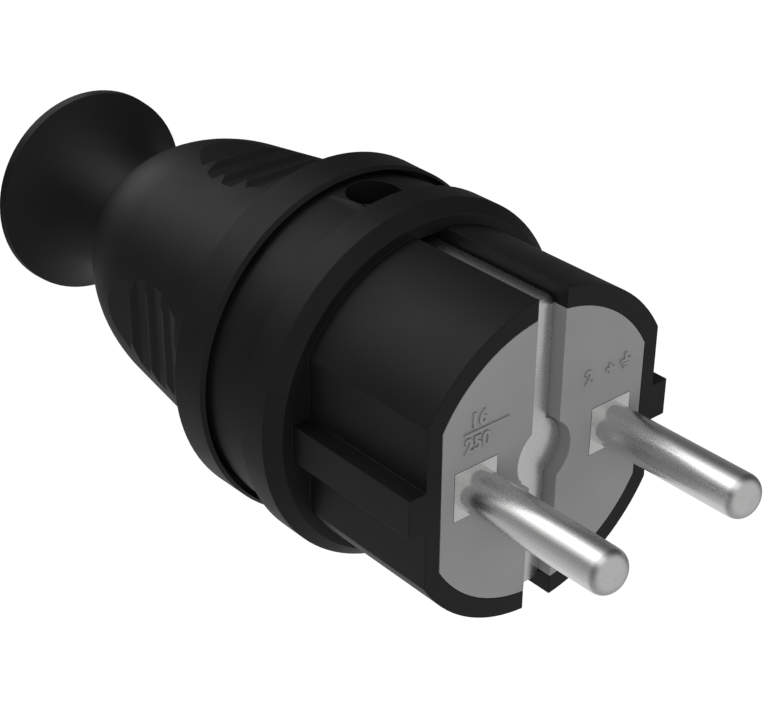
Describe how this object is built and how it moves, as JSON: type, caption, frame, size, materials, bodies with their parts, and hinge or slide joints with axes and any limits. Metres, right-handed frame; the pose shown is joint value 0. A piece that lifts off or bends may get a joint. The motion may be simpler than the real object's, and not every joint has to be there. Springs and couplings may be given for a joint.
{
  "type": "rubber power plug",
  "caption": "Black rubber mains plug with round pins, an earth strap across its grey insert, a skirted nose and a ribbed rear hood that flares to the cord inlet.",
  "frame": {"origin": "centre of the flared tail's end, which the plug stands on", "axes": "+Z is the plug's axis, towards the tips of the pins; +X runs from the left pin to the right pin; +Y runs along the earth strap, towards the lock screw's hole"},
  "size_m": [0.0418, 0.0418, 0.1039],
  "materials": {
    "black_rubber": "matt moulded rubber with a fine grain",
    "grey_insert": "matt grey moulded plastic",
    "inner_moulding": "matt dark grey moulded plastic",
    "plated_contact": "satin nickel plate on brass",
    "bare_brass": "bare brass, cut and drilled",
    "zinc_steel": "bright zinc plate on steel"
  },
  "bodies": {
    "root": {"front_moulding": "black_rubber", "rear_hood": "black_rubber", "contact_carrier": "grey_insert", "terminal_cover": "inner_moulding", "cord_clamp_bar": "inner_moulding", "pin_left": "plated_contact", "pin_right": "plated_contact", "earth_strap": "plated_contact", "earth_terminal": "bare_brass", "earth_rivet": "bare_brass", "terminal_screw_left": "zinc_steel", "terminal_screw_right": "zinc_steel", "earth_terminal_screw": "zinc_steel", "cover_screw_left": "zinc_steel", "cover_screw_right": "zinc_steel", "clamp_screw_left": "zinc_steel", "clamp_screw_right": "zinc_steel", "clamp_nut_left": "zinc_steel", "clamp_nut_right": "zinc_steel", "lock_screw": "zinc_steel", "lock_nut": "zinc_steel"}
  },
  "joints": []
}
